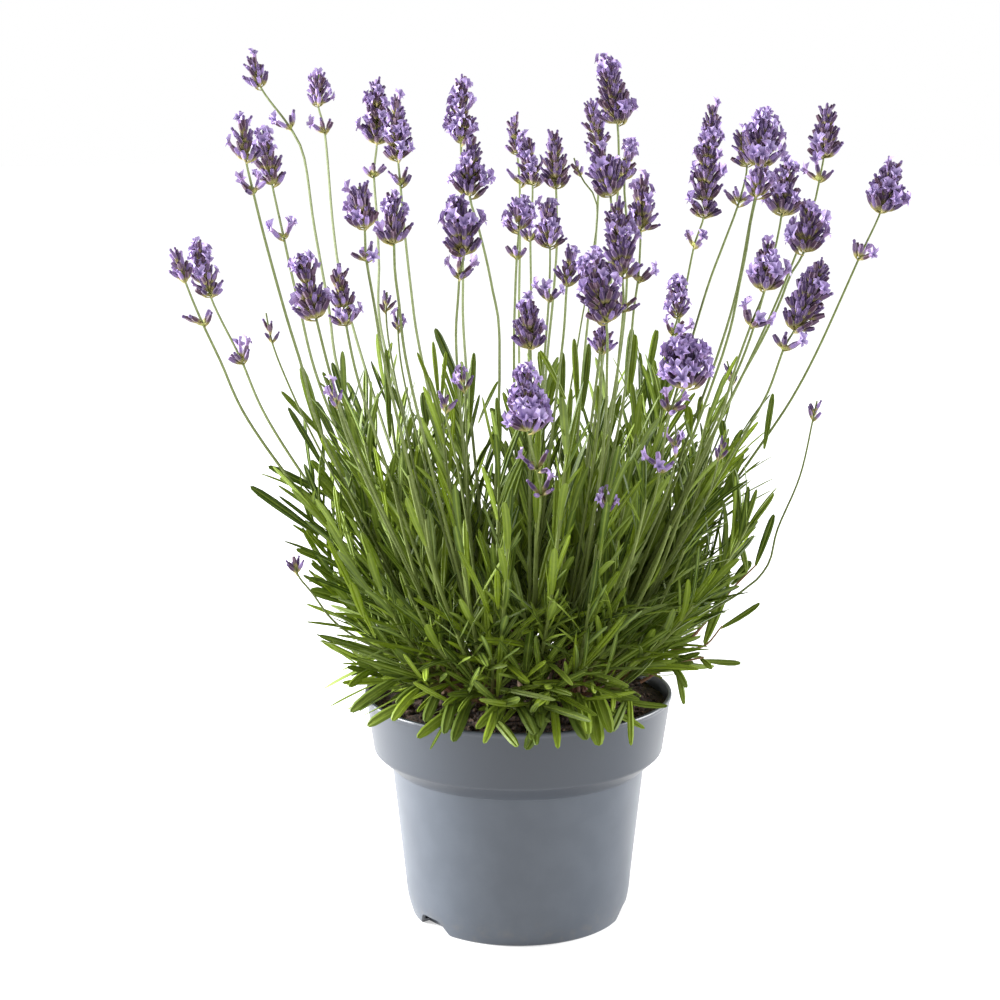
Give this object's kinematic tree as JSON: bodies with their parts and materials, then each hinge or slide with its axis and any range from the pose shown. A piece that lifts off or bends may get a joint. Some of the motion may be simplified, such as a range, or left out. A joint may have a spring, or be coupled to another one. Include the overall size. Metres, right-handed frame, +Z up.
{
  "type": "potted lavender",
  "caption": "Flowering lavender in a round slate grey nursery pot: leafy woody-based branches in soil, with violet flower spikes on long stalks.",
  "frame": {"origin": "on the pot's axis at the flat underside of its floor, where it stands", "axes": "+Z up along the pot's axis, -Y towards the front of the plant, +X to its right seen from the front"},
  "size_m": [0.3898, 0.2957, 0.4712],
  "materials": {
    "pot_plastic": "satin slate grey polypropylene",
    "potting_soil": "damp peat",
    "lavender_leaf": "soft green leaf and stalk",
    "lavender_flower": "downy violet calyx and corolla"
  },
  "bodies": {
    "root": {"pot": "pot_plastic", "soil": "potting_soil", "branch_left": "lavender_leaf", "branch_left_back": "lavender_leaf", "branch_left_front": "lavender_leaf", "branch_front_left": "lavender_leaf", "branch_centre_left": "lavender_leaf", "branch_back_left": "lavender_leaf", "branch_back": "lavender_leaf", "branch_centre": "lavender_leaf", "branch_front": "lavender_leaf", "branch_centre_right": "lavender_leaf", "branch_back_right": "lavender_leaf", "branch_front_right": "lavender_leaf", "branch_right": "lavender_leaf", "branch_right_front": "lavender_leaf", "spike_01": "lavender_flower", "spike_02": "lavender_flower", "spike_03": "lavender_flower", "spike_04": "lavender_flower", "spike_05": "lavender_flower", "spike_06": "lavender_flower", "spike_07": "lavender_flower", "spike_08": "lavender_flower", "spike_09": "lavender_flower", "spike_10": "lavender_flower", "spike_11": "lavender_flower", "spike_12": "lavender_flower", "spike_13": "lavender_flower", "spike_14": "lavender_flower", "spike_15": "lavender_flower", "spike_16": "lavender_flower", "spike_17": "lavender_flower", "spike_18": "lavender_flower", "spike_19": "lavender_flower", "spike_20": "lavender_flower", "spike_21": "lavender_flower", "spike_22": "lavender_flower", "spike_23": "lavender_flower", "spike_24": "lavender_flower", "spike_25": "lavender_flower", "spike_26": "lavender_flower", "spike_27": "lavender_flower", "spike_28": "lavender_flower", "spike_29": "lavender_flower", "spike_30": "lavender_flower", "spike_31": "lavender_flower", "spike_32": "lavender_flower", "spike_33": "lavender_flower", "spike_34": "lavender_flower", "spike_35": "lavender_flower", "spike_36": "lavender_flower", "spike_37": "lavender_flower", "spike_38": "lavender_flower", "spike_39": "lavender_flower", "spike_40": "lavender_flower", "spike_41": "lavender_flower", "spike_42": "lavender_flower", "spike_43": "lavender_flower"}
  },
  "joints": []
}
